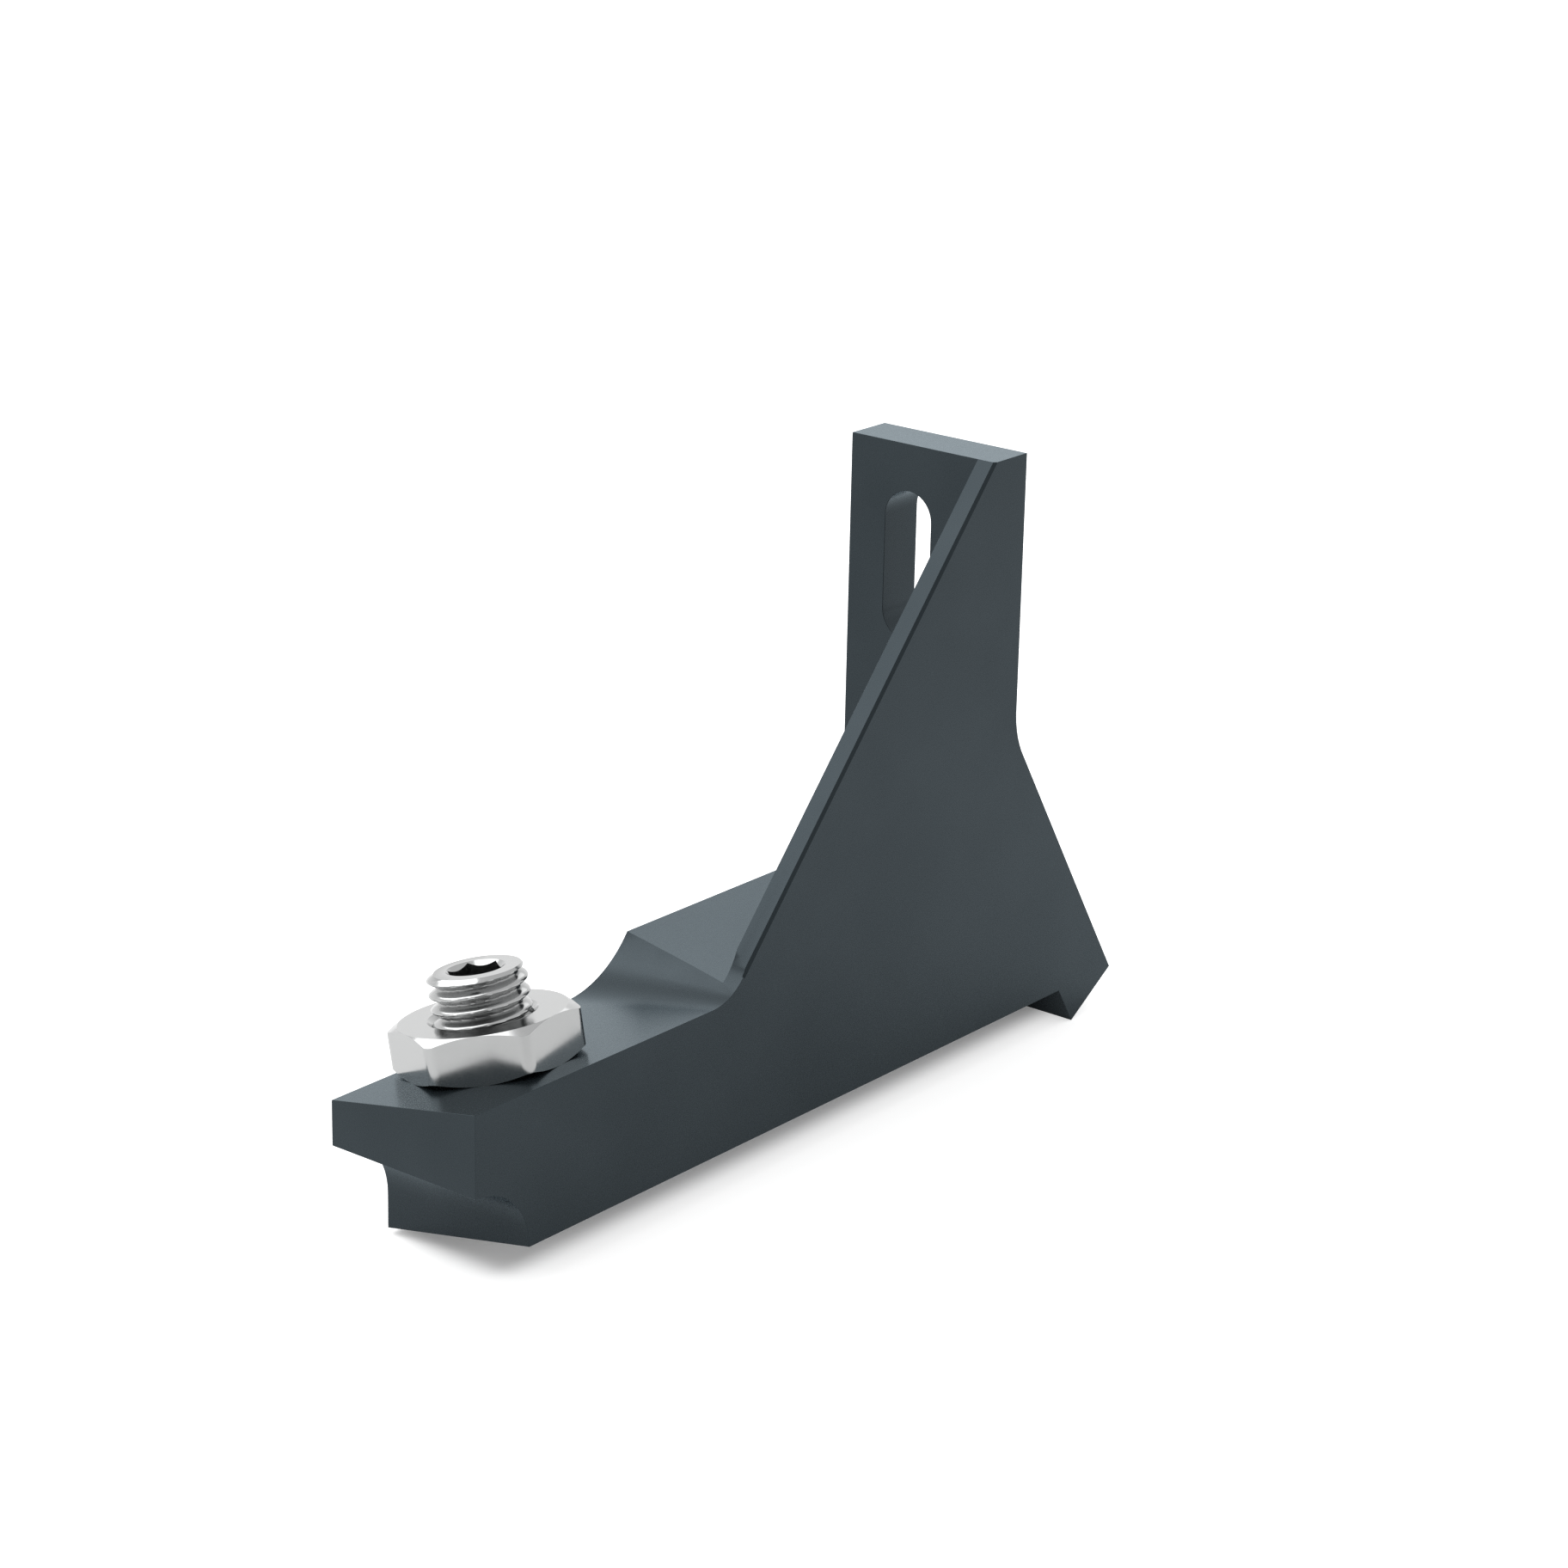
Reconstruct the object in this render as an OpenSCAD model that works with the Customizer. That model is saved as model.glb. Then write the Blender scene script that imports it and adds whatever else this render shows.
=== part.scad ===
// Master cylinder brace: a bracket machined from rectangular aluminium bar, with a set screw and a jam nut
// in its arm. The tab bolts to the inner wing, the leg stands off against the panel below it, and the screw
// is wound out until its tip bears on the nose of the brake master cylinder.
// X runs along the bar from the nose to the tab, Y across the bar from the webbed face, and Z up the tab.
// The origin is the middle of the bolt slot, on the tab's mounting face.

/* [Bar] */
// Width of the bar that the bracket is cut from
bar_w = 19; // [16:0.5:25]
// Distance from the nose to the tab's inner face
reach = 79.9; // [72:0.1:110]
// Height of the arm at the webbed face
arm_h = 16.3; // [14:0.1:20]
// Sideways lean of the arm's top and bottom faces, in degrees
arm_lean = 11.5; // [0:0.5:12]

/* [Nose] */
// Radius of the cove cut under the nose, about the nose's end and the front bottom edge
cove_r = 7.6; // [5:0.1:8.5]

/* [Root] */
// Radius that rises from the arm's flat to the web and the pad, at the webbed face
root_r = 6.4; // [5:0.1:7.5]
// The same radius where the root has widened to the bar's back face
root_back_r = 12.3; // [11:0.1:14]
// Turn of the root's foot toward the nose, in degrees
root_splay = 3; // [0:0.5:5]

/* [Pad] */
// Rise of the raised pad over the arm's top at the webbed face
pad_rise = 1.1; // [0.5:0.1:5]
// Radius in the corner between the pad and the tab
pad_corner_r = 3; // [1:0.1:5]

/* [Web] */
// Thickness of the side web
web_t = 2.3; // [2:0.1:4]
// Rise of the web's sloping edge, in degrees from level
web_slope = 48.7; // [46:0.1:50]
// Depth that the root is cut into the foot of the sloping edge
web_undercut = 0.05; // [0.05:0.05:0.3]
// Width of the chamfer on the sloping edge's outer corner
web_chamfer = 0.3; // [0.1:0.05:0.6]

/* [Tab] */
// Thickness of the mounting tab
tab_t = 5.7; // [4:0.1:8]
// Height of the tab's top over the front bottom edge
tab_h = 64.3; // [60:0.1:72]
// Width of the bolt slot
slot_w = 6.1; // [5:0.1:7]
// Travel of the bolt between the slot's end centres
slot_travel = 10.4; // [6:0.1:14]
// Distance from the webbed face to the slot's middle
slot_y = 11.2; // [10:0.1:12]
// Distance from the tab's top to the slot's middle
slot_drop = 13.4; // [12:0.1:16]

/* [Leg] */
// Height of the bend from tab to leg over the front bottom edge
bend_h = 32.8; // [30:0.1:36]
// Radius in the bend
bend_r = 10; // [5:0.5:14]
// Slope of the leg, in degrees from the tab
leg_angle = 32; // [26:0.5:36]
// Thickness of the leg across its square end
leg_t = 8.5; // [7:0.1:10]
// Drop of the leg's toe below the arm's lower back edge
toe_drop = 0.6; // [0.2:0.1:4]

/* [Set screw] */
// Outer diameter of the thread
screw_d = 10; // [8:0.5:12]
// Length of the set screw
screw_l = 25; // [22:1:30]
// Height of the screw's top over the arm
screw_proud = 9.7; // [6:0.1:12]
// Distance from the nose to the screw's axis
screw_x = 14.4; // [14:0.1:20]
// Distance across the arm's top from the webbed face to the screw's axis
screw_y = 11.6; // [9:0.1:12]
// Size of the hexagon socket across its flats
socket_af = 5; // [4:0.5:6]
// Depth of the hexagon socket
socket_depth = 6; // [4:0.5:8]
// Width of the countersink beyond the socket's corners
socket_sink = 0.1; // [0.05:0.05:0.4]
// Depth of the chamfer on the screw's ends
screw_chamfer = 0.5; // [0.3:0.1:1.1]

/* [Jam nut] */
// Size of the nut across its flats
nut_af = 17; // [14:0.5:19]
// Amount worn off each of the nut's corners
nut_corner = 0.2; // [0:0.05:0.5]
// Thickness of the nut
nut_t = 5; // [4:0.5:6]
// Slope of the chamfers on the nut's corners, in degrees
nut_bevel = 30; // [15:1:30]
// Turn of the nut as tightened, in degrees
nut_turn = 8.5; // [0:0.5:59.5]
// Width of the countersink round the nut's threads
nut_sink = 0.5; // [0.2:0.1:0.8]

/* [Tapped hole] */
// Radial running clearance round the screw's thread
thread_gap = 0.05; // [0.02:0.01:0.1]
// Width of the countersink at each end of the hole in the arm
hole_sink = 0.5; // [0.2:0.1:0.8]

/* [Hidden] */
$fn = 96;
// Overrun of a cut past a face, or of a part into its neighbour
over = 1;
bracket_colour = "#3f4a50";
steel_colour = "#c3c6c4";
lean_drop = bar_w * tan(arm_lean);
tab_back = reach + tab_t;
slot_h = tab_h - slot_drop;
bore_r = screw_d / 2 + thread_gap;
// Reach of a cut that clears both sides of the bar, however the arm leans
cut_w = bar_w + lean_drop + 2 * over;
pad_h = arm_h + pad_rise;
nut_ac = nut_af / cos(30) - 2 * nut_corner;
socket_ac = socket_af / cos(30);
// The leg runs down and out from the bend, and its inner face lies one thickness back from its outer one
leg_down = [sin(leg_angle), -cos(leg_angle)];
leg_in = [-cos(leg_angle), -sin(leg_angle)];
leg_l = (bend_h + lean_drop + toe_drop - leg_t * sin(leg_angle)) / cos(leg_angle);
bend = [tab_back, bend_h];
toe_out = bend + leg_l * leg_down;
toe_in = toe_out + leg_t * leg_in;
// The web's edge runs down from the tab's top to its foot, where the root is cut a little deeper than tangent
web_foot_x = reach - (tab_h - arm_h) / tan(web_slope);
web_foot_h = arm_h + root_r * (1 - cos(web_slope));
flat_l = web_foot_x - root_r * tan(web_slope / 2) + web_undercut / sin(web_slope);
// The root is part of a cone that lies on the arm's flat: its half angle, and its point's distance off
root_taper = atan((root_back_r - root_r) * cos(arm_lean) / bar_w);
root_point = root_r / tan(root_taper);
// Depth that a radius goes past the faces it blends, so that they cross and no sliver is left between them
blend_dip = 0.01;
// Height inside the bar at which its parts run into each other
mid_h = arm_h / 2;

// Distance along the bar to the web's sloping edge at a height
function web_x(h) = web_foot_x + (h - arm_h) / tan(web_slope);

// Distance along the bar to the leg's inner face at a height
function leg_inner_x(h) = toe_in[0] - (h - toe_in[1]) * tan(leg_angle);

// Moves the bar's own corner, at the nose and the front bottom edge, to its place about the bolt slot
module from_slot() translate([-tab_back, -slot_y, -slot_h]) children();

// Raises a side outline into a plate between two distances from the webbed face
module across(from, to) translate([0, to, 0]) rotate([90, 0, 0]) linear_extrude(to - from) children();

// Turns its children with the arm's lean, about a level line on the webbed face
module leaning(h) translate([0, 0, h]) rotate([-arm_lean, 0, 0]) children();

// Sets its children on the arm's top, on the screw's axis
module on_screw() leaning(arm_h) translate([screw_x, screw_y, 0]) children();

// Fills an inside corner with a radius: one and two are the unit directions of its walls
module corner_fill(corner, one, two, r) {
    half = acos(one * two) / 2;
    outward = (one + two) / norm(one + two) / sin(half);
    middle = r * outward;
    run = r / tan(half);
    translate(corner - blend_dip * outward) difference() {
        polygon([[0, 0], run * one, middle, run * two]);
        translate(middle) circle(r);
    }
}

// Space over the arm: flat to the root's foot, then rising on the root's cone
module over_arm() leaning(arm_h) {
    near = -over;
    far = cut_w - over;
    near_l = root_point + near;
    linear_extrude(tab_h) polygon([
        [-over, near], [flat_l - near * tan(root_splay), near], [flat_l - far * tan(root_splay), far],
        [-over, far],
    ]);
    translate([flat_l, 0, -blend_dip]) rotate([0, 0, root_splay]) translate([0, -root_point, 0])
        rotate([root_taper - 90, 0, 0]) translate([0, 0, near_l * cos(root_taper)]) cylinder(
            r1 = near_l * sin(root_taper), r2 = (near_l + cut_w) * sin(root_taper),
            h = cut_w * cos(root_taper));
}

// Space under the arm
module under_arm() leaning(0) translate([-over, -over, -cut_w])
    cube([toe_out[0] + 2 * over, cut_w, cut_w]);

// Bar with its coved nose and raised pad, before the arm's leaning faces are cut
module bar_outline() {
    low = -lean_drop - over;
    difference() {
        polygon([
            [0, low], [leg_inner_x(low) + over, low], [leg_inner_x(mid_h) + over, mid_h],
            [leg_inner_x(pad_h), pad_h], [0, pad_h],
        ]);
        circle(cove_r);
        translate([-over, low - over]) square([cove_r + over, -low + over]);
    }
}

// Tab and leg in one bent strip
module upright_outline() {
    polygon([
        [reach, mid_h], [reach, tab_h], [tab_back, tab_h], bend, toe_out, toe_in,
        [leg_inner_x(mid_h), mid_h],
    ]);
    corner_fill(bend, [0, 1], leg_down, bend_r);
}

// Side web from the arm's flat to the top of the tab
module web_outline() polygon([
    [flat_l, mid_h], [flat_l, web_foot_h], [web_x(web_foot_h), web_foot_h], [reach, tab_h],
    [reach + over, tab_h], [reach + over, mid_h],
]);

// Corner to take off along the web's sloping edge
module web_edge() translate([web_x(web_foot_h), 0, web_foot_h]) rotate([0, -web_slope, 0]) rotate([90, 0, 90])
    linear_extrude((tab_h - web_foot_h) / sin(web_slope) + over) polygon([
        [-over, -web_chamfer - over], [web_chamfer + over, over], [-over, over],
    ]);

// Oblong hole through the tab
module slot() translate([reach - over, slot_y, slot_h]) rotate([0, 90, 0]) {
    depth = tab_t + 2 * over;
    for (end = [-1, 1]) translate([end * slot_travel / 2, 0, 0]) cylinder(d = slot_w, h = depth);
    translate([-slot_travel / 2, -slot_w / 2, 0]) cube([slot_travel, slot_w, depth]);
}

// Hole through the arm at its thread's outer diameter, countersunk at both ends
module tapped_hole() {
    depth = arm_h * cos(arm_lean);
    mouth = bore_r + hole_sink + over;
    rotate_extrude() polygon([
        [0, over], [mouth, over], [bore_r, -hole_sink], [bore_r, hole_sink - depth], [mouth, -depth - over],
        [0, -depth - over],
    ]);
}

module brace_body() color(bracket_colour) from_slot() difference() {
    union() {
        difference() {
            union() {
                across(0, bar_w) bar_outline();
                across(0, web_t) web_outline();
            }
            over_arm();
            under_arm();
        }
        across(0, bar_w) upright_outline();
        across(web_t, bar_w) corner_fill([reach, pad_h], [-1, 0], [0, 1], pad_corner_r);
    }
    web_edge();
    slot();
    on_screw() tapped_hole();
}

module set_screw() color(steel_colour) from_slot() on_screw() translate([0, 0, screw_proud]) difference() {
    tip_r = screw_d / 2 - screw_chamfer;
    mouth_r = socket_ac / 2 + socket_sink;
    rotate_extrude() polygon([
        [0, -mouth_r], [mouth_r, 0], [tip_r, 0], [screw_d / 2, -screw_chamfer],
        [screw_d / 2, screw_chamfer - screw_l], [tip_r, -screw_l], [0, -screw_l],
    ]);
    translate([0, 0, -socket_depth]) cylinder(d = socket_ac, h = socket_depth + over, $fn = 6);
}

module jam_nut() color(steel_colour) from_slot() on_screw() difference() {
    bevel = (nut_ac - nut_af) / 2 * tan(nut_bevel);
    intersection() {
        rotate([0, 0, nut_turn]) cylinder(d = nut_af / cos(30), h = nut_t, $fn = 6);
        rotate_extrude() polygon([
            [0, 0], [nut_af / 2, 0], [nut_ac / 2, bevel], [nut_ac / 2, nut_t - bevel], [nut_af / 2, nut_t],
            [0, nut_t],
        ]);
    }
    rotate_extrude() polygon([
        [0, -over], [bore_r + nut_sink + over, -over], [bore_r, nut_sink], [bore_r, nut_t - nut_sink],
        [bore_r + nut_sink + over, nut_t + over], [0, nut_t + over],
    ]);
}

brace_body();
set_screw();
jam_nut();
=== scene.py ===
import math

import bmesh
import bpy
import numpy as np
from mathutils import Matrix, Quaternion, Vector


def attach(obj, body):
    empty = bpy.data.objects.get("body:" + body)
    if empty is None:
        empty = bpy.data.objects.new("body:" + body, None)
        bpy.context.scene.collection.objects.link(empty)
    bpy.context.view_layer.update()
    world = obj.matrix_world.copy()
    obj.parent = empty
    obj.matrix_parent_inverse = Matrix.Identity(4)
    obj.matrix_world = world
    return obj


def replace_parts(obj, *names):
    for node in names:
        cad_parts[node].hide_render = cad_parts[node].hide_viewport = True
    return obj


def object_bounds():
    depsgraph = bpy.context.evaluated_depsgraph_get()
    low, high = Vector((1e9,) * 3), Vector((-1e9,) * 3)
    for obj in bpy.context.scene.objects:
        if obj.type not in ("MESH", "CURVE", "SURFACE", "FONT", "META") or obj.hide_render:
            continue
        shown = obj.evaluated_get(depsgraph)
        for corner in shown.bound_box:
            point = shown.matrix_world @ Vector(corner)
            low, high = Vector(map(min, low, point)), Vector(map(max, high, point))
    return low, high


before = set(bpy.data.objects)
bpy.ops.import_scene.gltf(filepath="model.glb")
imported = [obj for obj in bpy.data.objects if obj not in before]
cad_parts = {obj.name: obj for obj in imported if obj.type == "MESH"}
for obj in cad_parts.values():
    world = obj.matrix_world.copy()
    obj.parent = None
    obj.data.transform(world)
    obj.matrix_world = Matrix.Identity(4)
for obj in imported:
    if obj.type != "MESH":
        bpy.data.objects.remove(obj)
cad_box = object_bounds()


# The bracket: one piece milled from rectangular aluminium bar, its edges just broken, then bead-blasted
# and anodised in a dark grey dye. Its flats and radii are the frame's own, so a merged copy of that mesh is
# taken and only the broken edges are added to it.
MM = 0.001
EDGE_BREAK = 0.05 * MM
EDGE_STEPS = 2
FLAT_ANGLE = math.radians(0.4)
CREASE_ANGLE = math.radians(28)
SQUARE_ANGLE = math.radians(55)


def merged(node):
    """The corners and triangles of a frame mesh: corners that share a place are made one, and a triangle
    that loses a side by it is dropped."""
    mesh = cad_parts[node].data
    place = np.empty(len(mesh.vertices) * 3, np.float32)
    mesh.vertices.foreach_get("co", place)
    corner = np.empty(len(mesh.loops), np.int32)
    mesh.loops.foreach_get("vertex_index", corner)
    place, same = np.unique(place.reshape(-1, 3).round(7), axis=0, return_inverse=True)
    triangle = same.ravel()[corner].reshape(-1, 3)
    a, b, c = triangle.T
    return place, triangle[(a != b) & (b != c) & (c != a)]


def piece(name, place, faces, material, body, node):
    """A named mesh that rides on a body and stands for a CAD node, smooth but for its real edges."""
    mesh = bpy.data.meshes.new(name)
    mesh.from_pydata(place.tolist(), [], [f for group in faces for f in group.tolist()])
    mesh.polygons.foreach_set("use_smooth", np.ones(len(mesh.polygons), bool))
    mesh.materials.append(material)
    mesh.update()
    mesh.set_sharp_from_angle(angle=CREASE_ANGLE)
    made = bpy.data.objects.new(name, mesh)
    bpy.context.scene.collection.objects.link(made)
    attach(made, body)
    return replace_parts(made, node)


def linear(code):
    """A colour for a socket from its sRGB hex code: each channel by the sRGB curve, then alpha 1."""
    channel = np.array([int(code[i : i + 2], 16) for i in (1, 3, 5)]) / 255
    low = channel / 12.92
    high = ((channel + 0.055) / 1.055) ** 2.4
    return (*np.where(channel <= 0.04045, low, high), 1.0)


def add(tree, kind, inputs, **settings):
    """Adds one node: settings are its properties, and inputs its sockets, each a value or an output."""
    made = tree.nodes.new("ShaderNode" + kind)
    for name, value in settings.items():
        setattr(made, name, value)
    for name, value in inputs.items():
        if isinstance(value, bpy.types.NodeSocket):
            tree.links.new(value, made.inputs[name])
        else:
            made.inputs[name].default_value = value
    return made


def surface(name):
    """A new material, with its node tree, its shader and the spot on the piece in Object coordinates."""
    material = bpy.data.materials.new(name)
    material.use_nodes = True
    tree = material.node_tree
    return material, tree, tree.nodes["Principled BSDF"], add(tree, "TexCoord", {}).outputs["Object"]


# Anodised aluminium: a thin clear oxide, dyed in its pores, over bare metal. Part of the metal's shine comes
# through, so it is near black face on and pale blue grey edge on. Bead-blasting leaves a grain of about
# 0.1 mm, drawn here at 0.3 mm so that it shows, and the dye takes a little unevenly over 15 mm or so.
BLAST_GRAIN = 0.3 * MM
BLAST_DEPTH = 0.02 * MM
BLAST_STRENGTH = 0.05
DYE_PATCH = 15 * MM
DYE_DEEP = "#262d31"
DYE_THIN = "#2b3236"
DYE_DEEP_TO = 0.35
DYE_THIN_FROM = 0.65
OXIDE_TINT = "#e6f6ff"
OXIDE_SMOOTH = 0.23
OXIDE_DULL = 0.31
METAL_SHARE = 0.6
anodised, tree, shader, spot = surface("anodised aluminium")
patch = add(tree, "TexNoise", {"Vector": spot, "Scale": 1 / DYE_PATCH, "Detail": 3.0})
grain = add(tree, "TexNoise", {"Vector": spot, "Scale": 1 / BLAST_GRAIN, "Detail": 1.0})
dye = add(tree, "ValToRGB", {"Fac": patch.outputs["Fac"]})
deep, thin = dye.color_ramp.elements
deep.position = DYE_DEEP_TO
deep.color = linear(DYE_DEEP)
thin.position = DYE_THIN_FROM
thin.color = linear(DYE_THIN)
sheen = add(tree, "MapRange", {
    "Value": grain.outputs["Fac"], "To Min": OXIDE_SMOOTH, "To Max": OXIDE_DULL,
})
relief = add(tree, "Bump", {
    "Height": grain.outputs["Fac"], "Strength": BLAST_STRENGTH, "Distance": BLAST_DEPTH,
})
tree.links.new(dye.outputs["Color"], shader.inputs["Base Color"])
tree.links.new(sheen.outputs["Result"], shader.inputs["Roughness"])
tree.links.new(relief.outputs["Normal"], shader.inputs["Normal"])
shader.inputs["Metallic"].default_value = METAL_SHARE
shader.inputs["Specular Tint"].default_value = linear(OXIDE_TINT)

corners, triangles = merged("brace_body")
bracket = piece("bracket", corners, [triangles], anodised, "bracket", "brace_body")
form = bmesh.new()
form.from_mesh(bracket.data)
bmesh.ops.dissolve_limit(form, angle_limit=FLAT_ANGLE, verts=form.verts, edges=form.edges)
broken = form.edges.layers.float.new("bevel_weight_edge")
for edge in form.edges:
    edge[broken] = float(edge.is_convex and edge.calc_face_angle(0.0) > SQUARE_ANGLE)
form.to_mesh(bracket.data)
form.free()
bracket.data.set_sharp_from_angle(angle=CREASE_ANGLE)
bevel = bracket.modifiers.new("broken edges", "BEVEL")
bevel.limit_method = "WEIGHT"
bevel.width = EDGE_BREAK
bevel.segments = EDGE_STEPS
bevel.use_clamp_overlap = False
bevel.harden_normals = True


# The set screw: an M10 stainless hexagon-socket screw with a flat point, turned, rolled and chamfered at both
# ends. It goes through the tapped hole in the arm, and its axis meets the arm's top at the seat. The CAD's
# screw is plain, and this one has the rolled thread and the socket's drilled point.
SEAT = np.array([-71.2, 0.1671, -36.9127]) * MM
LEAN = math.radians(11.5)
ALONG = np.array([1.0, 0.0, 0.0])
ACROSS = np.array([0.0, math.cos(LEAN), -math.sin(LEAN)])
AXIS = np.array([0.0, math.sin(LEAN), math.cos(LEAN)])
COLUMNS = 144
ROWS_A_PITCH = 18
THREAD_R = 5 * MM
PITCH = 1.5 * MM
THREAD_DEPTH = 0.55 * PITCH
THREAD_START = 0.67
SCREW_TOP = 9.7 * MM
SCREW_L = 25 * MM
SCREW_TIP_R = 4.5 * MM
SOCKET_AF = 5 * MM
SOCKET_DEPTH = 6 * MM
SOCKET_SINK = 0.1 * MM
SOCKET_POINT = 0.7 * MM
SOCKET_END = 0.35


def lathe(radius, height, turn, closed):
    """Corners and faces round the screw's axis: row i, column j lies at radius[i, j] and height[i, j], turned
    by turn[j]. A closed profile joins its last row to its first, and an open one ends in a pole on the axis
    at each end."""
    rows, columns = radius.shape
    out = np.cos(turn)[:, None] * ALONG + np.sin(turn)[:, None] * ACROSS
    place = (SEAT + radius[..., None] * out + height[..., None] * AXIS).reshape(-1, 3)
    row = np.arange(rows if closed else rows - 1)[:, None] * columns
    column = np.arange(columns)[None]
    after = (column + 1) % columns
    above = (row + columns) % (rows * columns)
    faces = [np.stack([row + column, row + after, above + after, above + column], -1).reshape(-1, 4)]
    if not closed:
        poles = SEAT + height[[0, -1], :1] * AXIS
        first, last = len(place), len(place) + 1
        top = (rows - 1) * columns
        place = np.concatenate([place, poles])
        faces.append(np.stack([after[0], column[0], np.full(columns, first)], -1))
        faces.append(np.stack([top + column[0], top + after[0], np.full(columns, last)], -1))
    return place, faces


def hexagon(turn, across_flats, corner):
    """Radius of a hexagon by angle: half its width across flats, over the cosine of the angle from the middle
    of the nearest flat."""
    from_corner = (turn - corner) % (math.pi / 3)
    return across_flats / 2 / np.cos(from_corner - math.pi / 6)


def thread(turn, height):
    """Radius of a rolled right-hand thread, round at crest and root: its outer radius, less its depth times
    (1 - cos a) / 2, where a is a whole turn for each pitch of height, less the turn round the axis."""
    angle = 2 * math.pi * (height / PITCH - THREAD_START) - turn
    return THREAD_R - THREAD_DEPTH * (1 - np.cos(angle)) / 2


# Stainless steel: a bright, neutral grey metal. The thread is rolled and the ends turned, so it shines, with
# fine marks of about 0.2 mm from the tools that break up the reflections and a polish that varies over 2 mm.
# The thread's root is darker by painted shade, the deeper a point lies in the groove the darker.
TOOL_MARK = 0.2 * MM
TOOL_MARK_DEPTH = 0.01 * MM
TOOL_MARK_STRENGTH = 0.04
POLISH_PATCH = 10 * TOOL_MARK
POLISH_BRIGHT = 0.12
POLISH_DULL = 0.2
BARE_STEEL = "#b5b6b6"
SHADED_GROOVE_STEEL = "#989999"
steel, tree, shader, spot = surface("stainless steel")
mark = add(tree, "TexNoise", {"Vector": spot, "Scale": 1 / TOOL_MARK, "Detail": 2.0})
polish = add(tree, "TexNoise", {"Vector": spot, "Scale": 1 / POLISH_PATCH, "Detail": 2.0})
sheen = add(tree, "MapRange", {
    "Value": polish.outputs["Fac"], "To Min": POLISH_BRIGHT, "To Max": POLISH_DULL,
})
relief = add(tree, "Bump", {
    "Height": mark.outputs["Fac"], "Strength": TOOL_MARK_STRENGTH, "Distance": TOOL_MARK_DEPTH,
})
# Painted shade: the colour runs from bare steel to a darker grey by the root attribute, the depth into the
# thread's groove.
root = add(tree, "Attribute", {}, attribute_name="root")
groove_shade = add(tree, "ValToRGB", {"Fac": root.outputs["Fac"]})
bare, shaded_groove = groove_shade.color_ramp.elements
bare.color = linear(BARE_STEEL)
shaded_groove.color = linear(SHADED_GROOVE_STEEL)
tree.links.new(groove_shade.outputs["Color"], shader.inputs["Base Color"])
tree.links.new(sheen.outputs["Result"], shader.inputs["Roughness"])
tree.links.new(relief.outputs["Normal"], shader.inputs["Normal"])
shader.inputs["Metallic"].default_value = 1.0

turn = np.arange(COLUMNS) * 2 * math.pi / COLUMNS
rows = round(ROWS_A_PITCH * SCREW_L / PITCH)
height = np.linspace(SCREW_TOP - SCREW_L, SCREW_TOP, rows)[:, None] + 0 * turn
from_end = np.minimum(SCREW_TOP - height, height - SCREW_TOP + SCREW_L)
ridge = thread(turn, height)
chamfer = SCREW_TIP_R + from_end
radius = np.minimum(ridge, chamfer)
sunk = np.where(ridge < chamfer, (THREAD_R - ridge) / THREAD_DEPTH, 0)
wall = hexagon(turn, SOCKET_AF, 0)
mouth = 0 * turn + SOCKET_AF / math.sqrt(3) + SOCKET_SINK
radius = np.concatenate([radius, [mouth, wall, wall, wall * SOCKET_END]])
depth = np.stack([0 * turn, mouth - wall, 0 * turn + SOCKET_DEPTH, 0 * turn + SOCKET_DEPTH + SOCKET_POINT])
height = np.concatenate([height, SCREW_TOP - depth])
place, faces = lathe(radius, height, turn, False)
screw = piece("set_screw_threaded", place, faces, steel, "adjuster", "set_screw")
# The root attribute is each thread point's depth into its groove, which the steel turns into painted shade;
# the socket stays bare.
groove_shade_depth = np.zeros(len(place), np.float32)
groove_shade_depth[: sunk.size] = sunk.ravel()
screw.data.attributes.new("root", "FLOAT", "POINT").data.foreach_set("value", groove_shade_depth)


# The jam nut: a thin M10 stainless hexagon nut, chamfered on both faces, that locks the set screw. Turning
# the chamfers leaves an arc at the head of each flat and a short bright facet at each corner.
NUT_AF = 17 * MM
NUT_CORNER = 0.2 * MM
NUT_T = 5 * MM
NUT_TURN = math.radians(8.5)
NUT_BEVEL = math.radians(30)
NUT_BORE_R = 5.05 * MM
NUT_SINK = 0.5 * MM

turn = NUT_TURN + np.arange(COLUMNS) * 2 * math.pi / COLUMNS
side = np.minimum(hexagon(turn, NUT_AF, NUT_TURN), NUT_AF / math.sqrt(3) - NUT_CORNER)
fall = (side - NUT_AF / 2) * math.tan(NUT_BEVEL)
ring = np.ones(COLUMNS)
radius = np.stack([
    ring * NUT_BORE_R, ring * (NUT_BORE_R + NUT_SINK), ring * NUT_AF / 2, side,
    side, ring * NUT_AF / 2, ring * (NUT_BORE_R + NUT_SINK), ring * NUT_BORE_R,
])
height = np.stack([
    ring * NUT_SINK, ring * 0, ring * 0, fall,
    NUT_T - fall, ring * NUT_T, ring * NUT_T, ring * (NUT_T - NUT_SINK),
])
place, faces = lathe(radius, height, turn, True)
piece("jam_nut_turned", place, faces, steel, "locknut", "jam_nut")


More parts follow.
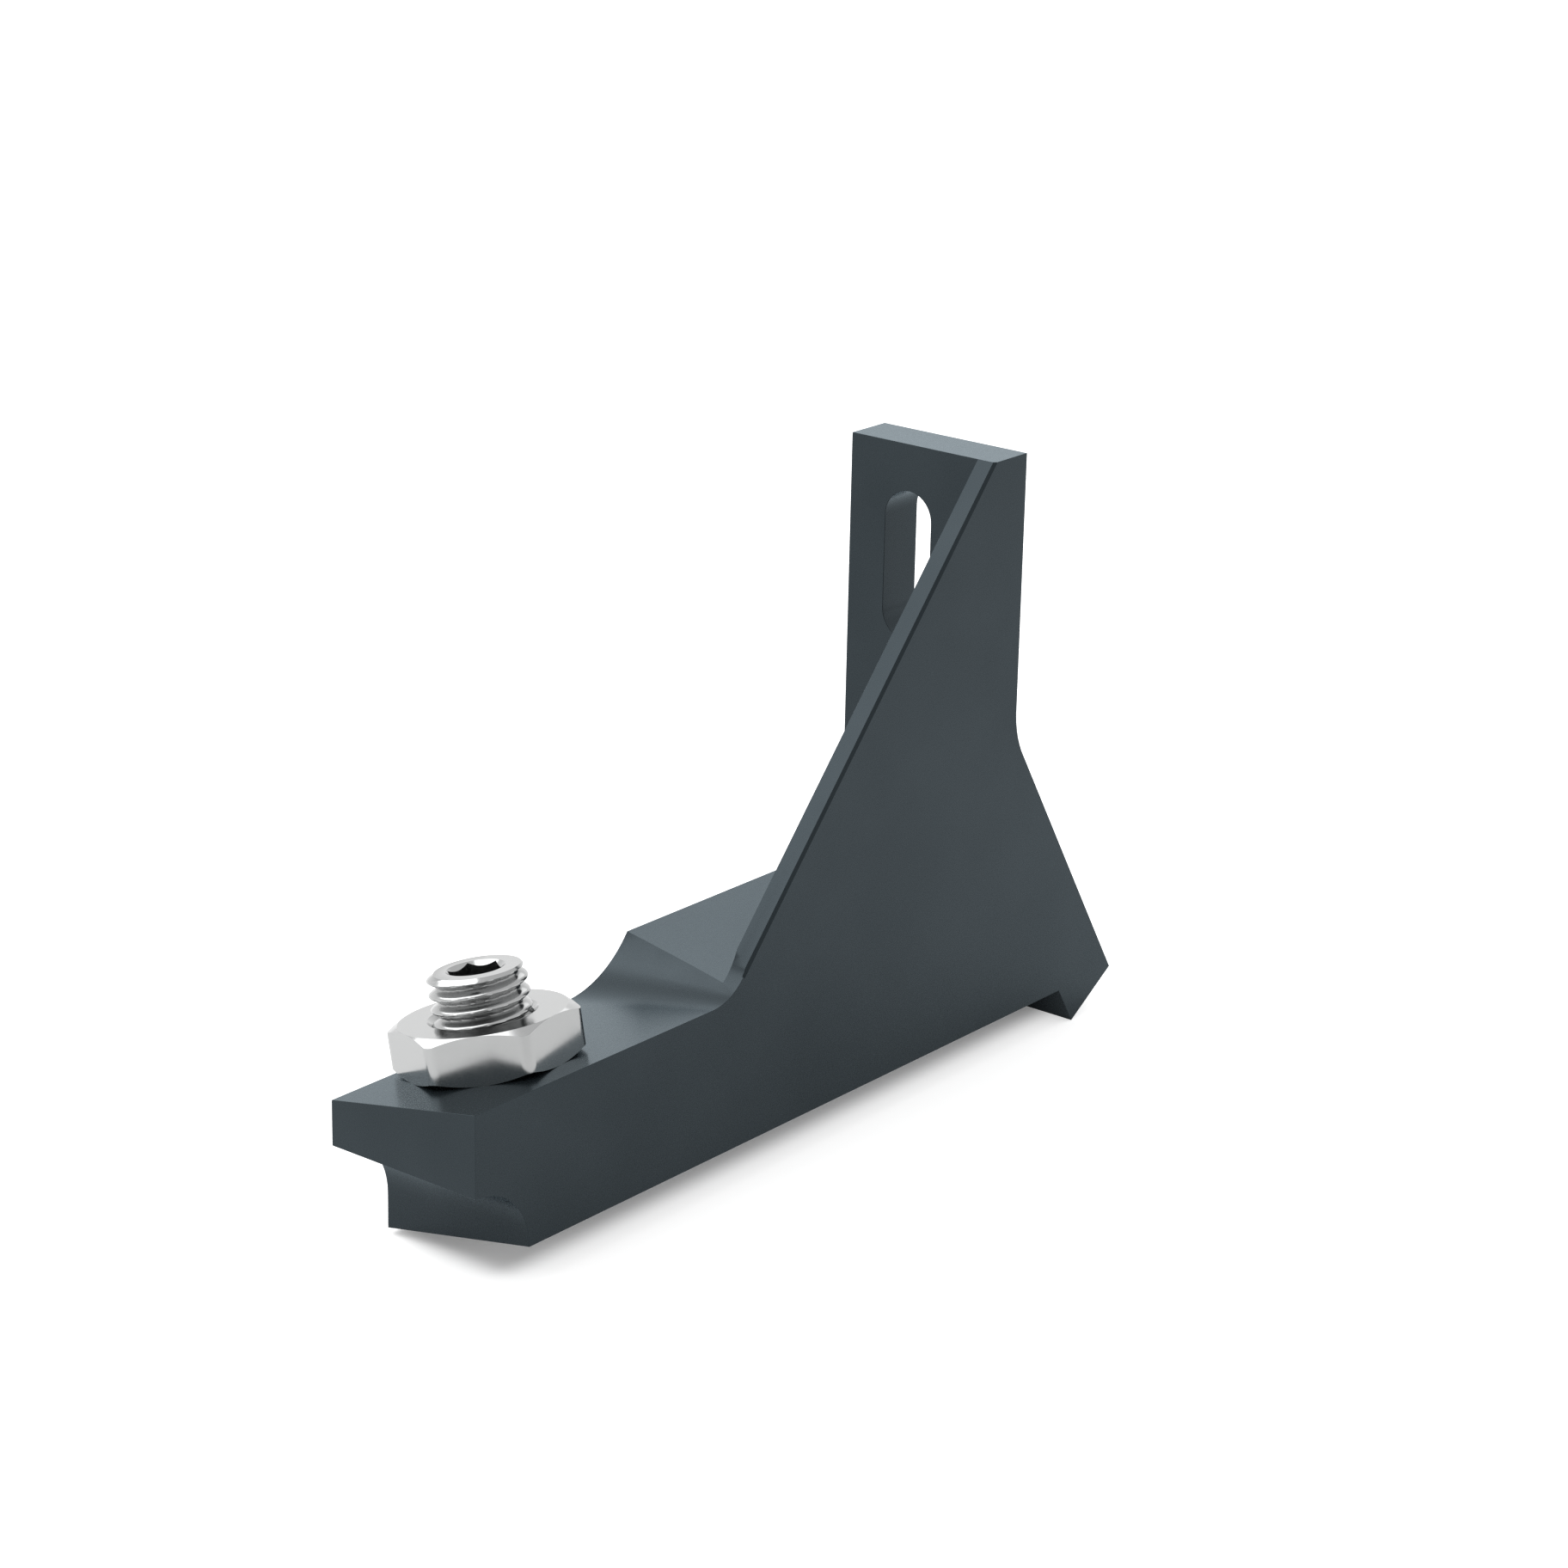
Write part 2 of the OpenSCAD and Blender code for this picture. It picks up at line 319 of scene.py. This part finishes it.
# The table: a sheet of white card. It shows as white to the camera, and a little in what mirrors it, while it
# keeps the shadow. The underside leans, so only its back part lies close to the card. In a box round that
# part the white is held back so that it does not wash out the dark line under the bracket, and this paints a
# contact shadow there.
FLOOR_HALF = 3.0
CARD = "#ebebeb"
CARD_ROUGHNESS = 0.9
PAINTED_SHADOW_LOW = np.array([-75.5, -5.2, -60.0]) * MM
PAINTED_SHADOW_HIGH = np.array([15.0, 9.0, -50.0]) * MM
PAINTED_SHADOW_REACH = 4.2 * MM
WHITE_IN_SHADOW = 0.2
WHITE_CLEAR = 0.62
MIRRORED = 0.2
floor_height = cad_box[0][2]
painted_shadow_middle = ((PAINTED_SHADOW_LOW + PAINTED_SHADOW_HIGH) / 2).tolist()
painted_shadow_half = ((PAINTED_SHADOW_HIGH - PAINTED_SHADOW_LOW) / 2).tolist()
card, tree, shader, spot = surface("white card")
shader.inputs["Base Color"].default_value = linear(CARD)
shader.inputs["Roughness"].default_value = CARD_ROUGHNESS
path = add(tree, "LightPath", {})
mirrored = add(tree, "Math", {0: path.outputs["Is Glossy Ray"], 1: MIRRORED}, operation="MULTIPLY")
seen = add(tree, "Math", {0: path.outputs["Is Camera Ray"], 1: mirrored.outputs[0]}, operation="MAXIMUM")
# Painted contact shadow: the white glow is weakest inside the box round the bracket's back underside and
# rises to full over the reach.
from_shadow_box = add(tree, "VectorMath", {0: spot, 1: painted_shadow_middle}, operation="SUBTRACT")
from_shadow_box = add(tree, "VectorMath", {0: from_shadow_box.outputs[0]}, operation="ABSOLUTE")
from_shadow_box = add(tree, "VectorMath", {0: from_shadow_box.outputs[0], 1: painted_shadow_half}, operation="SUBTRACT")
from_shadow_box = add(tree, "VectorMath", {0: from_shadow_box.outputs[0], 1: (0.0, 0.0, 0.0)}, operation="MAXIMUM")
from_shadow_box = add(tree, "VectorMath", {0: from_shadow_box.outputs[0]}, operation="LENGTH")
white = add(tree, "MapRange", {
    "Value": from_shadow_box.outputs["Value"], "From Min": 0.0, "From Max": PAINTED_SHADOW_REACH,
    "To Min": WHITE_IN_SHADOW, "To Max": WHITE_CLEAR,
}, interpolation_type="SMOOTHSTEP")
white = add(tree, "Math", {0: seen.outputs[0], 1: white.outputs[0]}, operation="MULTIPLY")
glow = add(tree, "Emission", {"Strength": white.outputs[0]})
both = add(tree, "AddShader", {0: shader.outputs[0], 1: glow.outputs[0]})
tree.links.new(both.outputs[0], tree.nodes["Material Output"].inputs["Surface"])
mesh = bpy.data.meshes.new("floor")
span = FLOOR_HALF * np.array([[-1, -1], [1, -1], [1, 1], [-1, 1]])
mesh.from_pydata(np.column_stack([span, np.full(4, floor_height)]).tolist(), [], [(0, 1, 2, 3)])
mesh.materials.append(card)
floor = bpy.data.objects.new("floor", mesh)
bpy.context.scene.collection.objects.link(floor)


# The camera: at the photograph's own place, angle and focal length, worked out from the bracket's edges. It
# stands 0.43 m from the bracket's middle, beyond the set screw and above it, and its long lens draws the
# edges together only a little.
HEADING = math.radians(38.466)
DIP = math.radians(19.107)
ROLL = math.radians(1.249)
LENS = 94.11
SENSOR = 36.0
CAMERA_PLACE = (-0.34466, -0.2532, 0.12147)
look = Vector((math.cos(DIP) * math.cos(HEADING), math.cos(DIP) * math.sin(HEADING), -math.sin(DIP)))
camera = bpy.data.objects.new("camera", bpy.data.cameras.new("camera"))
camera.data.lens = LENS
camera.data.sensor_width = SENSOR
camera.location = CAMERA_PLACE
camera.rotation_mode = "QUATERNION"
camera.rotation_quaternion = look.to_track_quat("-Z", "Y") @ Quaternion((0, 0, 1), ROLL)
bpy.context.scene.collection.objects.link(camera)
bpy.context.scene.camera = camera
bpy.context.scene.view_settings.view_transform = "Standard"


# The light: a small photo tent of white cloth, brightest near the table and darker round the camera, at its
# opening, whose rim and middle are cosines of the angle from the line of sight. A wide soft light stands
# above and behind the bracket, and a small one nearer to it, past the tab.
OPENING_RIM = 0.7
OPENING_MIDDLE = 0.97
OPENING_LIGHT = 0.35
LOW_LIGHT = 1.2
HIGH_LIGHT = 0.85
HIGH_FROM = 0.6
BRACKET_MIDDLE = Vector((-0.03, 0.0, -0.03))
world = bpy.data.worlds.new("tent")
bpy.context.scene.world = world
world.use_nodes = True
tree = world.node_tree
direction = add(tree, "TexCoord", {}).outputs["Generated"]
toward = add(tree, "VectorMath", {0: direction, 1: tuple(-look)}, operation="DOT_PRODUCT")
shade = add(tree, "MapRange", {
    "Value": toward.outputs["Value"], "From Min": OPENING_RIM, "From Max": OPENING_MIDDLE,
    "To Min": 1.0, "To Max": OPENING_LIGHT,
}, interpolation_type="SMOOTHSTEP")
upward = add(tree, "SeparateXYZ", {"Vector": direction})
rise = add(tree, "MapRange", {
    "Value": upward.outputs["Z"], "From Min": 0.0, "From Max": HIGH_FROM,
    "To Min": LOW_LIGHT, "To Max": HIGH_LIGHT,
})
light = add(tree, "Math", {0: shade.outputs["Result"], 1: rise.outputs["Result"]}, operation="MULTIPLY")
path = add(tree, "LightPath", {})
light = add(tree, "Math", {0: light.outputs[0], 1: path.outputs["Is Camera Ray"]}, operation="MAXIMUM")
background = tree.nodes["Background"]
background.inputs["Color"].default_value = (1.0, 1.0, 1.0, 1.0)
tree.links.new(light.outputs[0], background.inputs["Strength"])


def softbox(name, place, size, glow):
    """A square soft light at a place, facing the bracket's middle. Its power is its glow times its area
    times pi."""
    lamp = bpy.data.lights.new(name, "AREA")
    lamp.size = size
    lamp.energy = glow * size**2 * math.pi
    made = bpy.data.objects.new(name, lamp)
    made.location = place
    made.rotation_euler = (BRACKET_MIDDLE - Vector(place)).to_track_quat("-Z", "Y").to_euler()
    made.visible_camera = False
    bpy.context.scene.collection.objects.link(made)


softbox("top light", place=(-0.2, 0.36, 0.52), size=0.75, glow=2.0)
softbox("back light", place=(0.2, 0.155, 0.135), size=0.12, glow=0.9)
